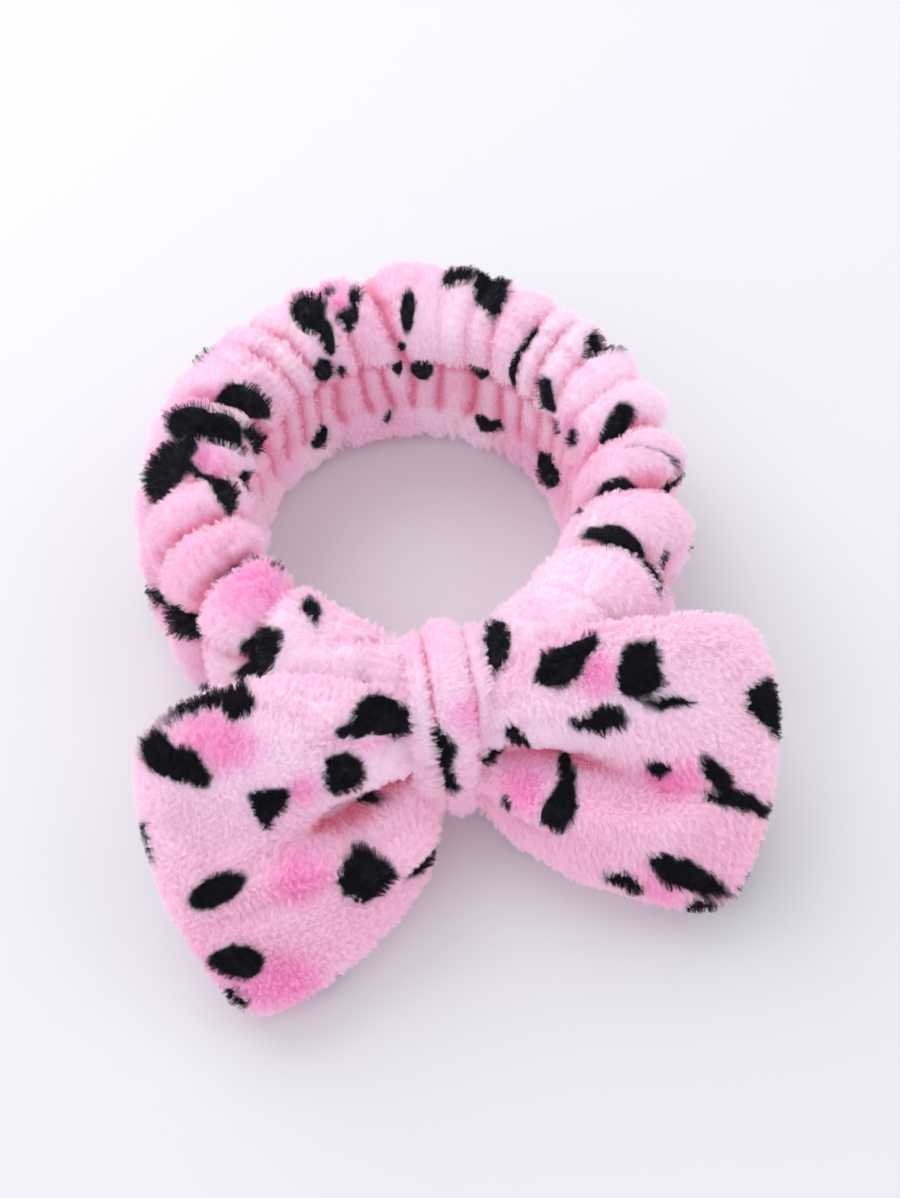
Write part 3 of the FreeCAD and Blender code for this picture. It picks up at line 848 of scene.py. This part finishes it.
def scatter(low, high, cell, seed):
    """Spots and patches for the sides that face away, in a loose and repeatable pattern."""
    rng = np.random.default_rng(seed)
    spots, patches = [], []
    for x in np.arange(low[0] + cell / 2, high[0], cell):
        for y in np.arange(low[1] + cell / 2, high[1], cell):
            centre = (x + cell * rng.uniform(-0.3, 0.3), y + cell * rng.uniform(-0.3, 0.3))
            length = rng.uniform(7, 16)
            width = min(length, rng.uniform(5, 10))
            shape = (rng.uniform(0, 180), rng.uniform(-0.3, 0.3), rng.uniform(-0.4, 0.4))
            if rng.uniform() < 0.85:
                spots.append((centre, length, width, *shape))
            if rng.uniform() < 0.3:
                offset = (centre[0] + rng.uniform(-9, 9), centre[1] + rng.uniform(-6, 6))
                patches.append((offset, length, width + 3, *shape))
    return tuple(spots), tuple(patches)


def round_band(marks, perimeter):
    """Marks given by angle, placed on the fabric and repeated where it closes on itself."""
    turn = 2 * math.pi * BAND_MIDDLE
    placed = []
    for (angle, up), *shape in marks:
        for x in (math.radians(angle) * BAND_MIDDLE + k * turn for k in (-1, 0, 1)):
            for y in (up, up + perimeter):
                if -MARK_REACH < x < turn + MARK_REACH and -MARK_REACH < y < perimeter + MARK_REACH:
                    placed.append(((x, y), *shape))
    return tuple(placed)


def make_band():
    points, openness, place = band_grid()
    from_wall = np.abs((np.arange(BAND_COLUMNS) / BAND_COLUMNS + 0.5) % 1 - 0.5)[None, :]
    held = np.maximum(np.clip(1 - openness * 2.2, 0, 1), smoothstep(0.26, 0.12, from_wall))
    points = puff(points, True, held, 1.2, 3.2, growth=0.08)
    points[..., 2] = np.maximum(points[..., 2], TABLE + 1.2 * smoothstep(6, -6, points[..., 2] - TABLE))
    perimeter = place[0, 1, 1] * BAND_COLUMNS
    place = unwrap(unwrap(place, 2 * math.pi * BAND_MIDDLE, 0), perimeter, 1)
    corner = (2 * math.pi * BAND_MIDDLE, perimeter - SCATTER_CELL)
    hidden_spots, hidden_patches = scatter((0, 56), corner, SCATTER_CELL, 5)
    spots = round_band(BAND_SPOTS, perimeter) + hidden_spots
    patches = round_band(BAND_PATCHES, perimeter) + hidden_patches
    obj = fleece_piece(
        "gathered_sleeve", finer(points, True), finer(openness, True), linear_finer(place, True),
        True, spots, patches, BAND_TUFTS, 3,
    )
    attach(obj, "band")
    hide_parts("fleece_sleeve")


def make_wing(name, side, spots, patches, seed):
    points, openness, place = wing_grid(side)
    held = np.clip(1 - openness, 0, 1)
    held[:8] = 1
    points = puff(points, False, held, 1.4, 2.2)
    place = unwrap(place, WING_PERIOD, 1)
    back_spots, back_patches = scatter((0, 84), (86, 156), SCATTER_CELL, seed)
    obj = fleece_piece(
        "puffed_wing_" + name, finer(points, False), finer(openness, False), linear_finer(place, False),
        False, spots + back_spots, patches + back_patches, WING_TUFTS, seed,
    )
    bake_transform(obj)
    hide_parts("bow_wing_" + name, "wing_padding_" + name, "wing_seam_" + name)


def make_wrap():
    points, openness, place = wrap_grid()
    obj = fleece_piece("pleated_wrap", points, openness, place, True, WRAP_SPOTS, WRAP_PATCHES, WRAP_TUFTS, 9)
    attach(obj, "band")
    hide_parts("knot_wrap", "bow_waist")


# Stage --------------------------------------------------------------------------------------------

TABLE_REACH = 3.0  # metres from the middle to each edge
WORLD_COLOUR = (0.93, 0.95, 1.0, 1)
WORLD_STRENGTH = 0.87
# Lamps: name, place in metres, size in metres and power in watts. Each one faces the frame's origin.
LAMPS = (
    ("window", (-0.7, 1.2, 1.2), 1.8, 19), ("fill", (-1.0, -0.7, 1.3), 1.4, 4),
    ("side", (1.2, -0.1, 1.2), 1.2, 2.5),
)
CAMERA_PLACE = (-34.8, -320.1, 470.8)
CAMERA_DIRECTION = (0.0763, 0.5169, -0.8526)


def make_stage():
    mesh = bpy.data.meshes.new("table")
    far = TABLE_REACH
    z = TABLE * MM
    corners = [(-far, -far, z), (far, -far, z), (far, far, z), (-far, far, z)]
    mesh.from_pydata(corners, [], [(0, 1, 2, 3)])
    table = bpy.data.objects.new("table", mesh)
    bpy.context.scene.collection.objects.link(table)
    material = bpy.data.materials.new("pale_table")
    graph = Graph(material)
    inputs = {"Base Color": TABLE_WHITE, "Roughness": 0.6, "Specular IOR Level": 0.2}
    shade = graph.add("ShaderNodeBsdfPrincipled", inputs)
    graph.add("ShaderNodeOutputMaterial", {"Surface": shade.outputs[0]})
    mesh.materials.append(material)


def area_light(name, place, size, power):
    data = bpy.data.lights.new(name, "AREA")
    data.shape = "DISK"
    data.size = size
    data.energy = power
    light = bpy.data.objects.new(name, data)
    light.location = place
    light.rotation_euler = (-Vector(place)).to_track_quat("-Z", "Y").to_euler()
    bpy.context.scene.collection.objects.link(light)


def make_lights():
    world = bpy.data.worlds.new("studio")
    bpy.context.scene.world = world
    world.use_nodes = True
    background = world.node_tree.nodes["Background"]
    background.inputs[0].default_value = WORLD_COLOUR
    background.inputs[1].default_value = WORLD_STRENGTH
    for lamp in LAMPS:
        area_light(*lamp)
    bpy.context.scene.view_settings.view_transform = "Standard"


def make_camera():
    data = bpy.data.cameras.new("camera")
    data.lens = 50.0
    data.sensor_width = 36.0
    camera = bpy.data.objects.new("camera", data)
    camera.location = Vector(CAMERA_PLACE) * MM
    camera.rotation_euler = Vector(CAMERA_DIRECTION).to_track_quat("-Z", "Y").to_euler()
    bpy.context.scene.collection.objects.link(camera)
    bpy.context.scene.camera = camera


def dress(node, material):
    """Gives a piece carried over from the CAD its one material."""
    materials = frame["nodes"][node].data.materials
    materials.clear()
    materials.append(material)


make_band()
make_wing("left", -1, LEFT_SPOTS, LEFT_PATCHES, 31)
make_wing("right", 1, RIGHT_SPOTS, RIGHT_PATCHES, 41)
make_wrap()
for node in ("sleeve_long_seam", "sleeve_end_seam", "tie_thread", "knot_wrap_seam", "elastic_lap_stitches"):
    dress(node, plain_cloth(node + "_thread", THREAD_PINK, 900.0))
dress("elastic_loop", plain_cloth("elastic", ELASTIC_WHITE, 500.0))
make_stage()
make_lights()
make_camera()
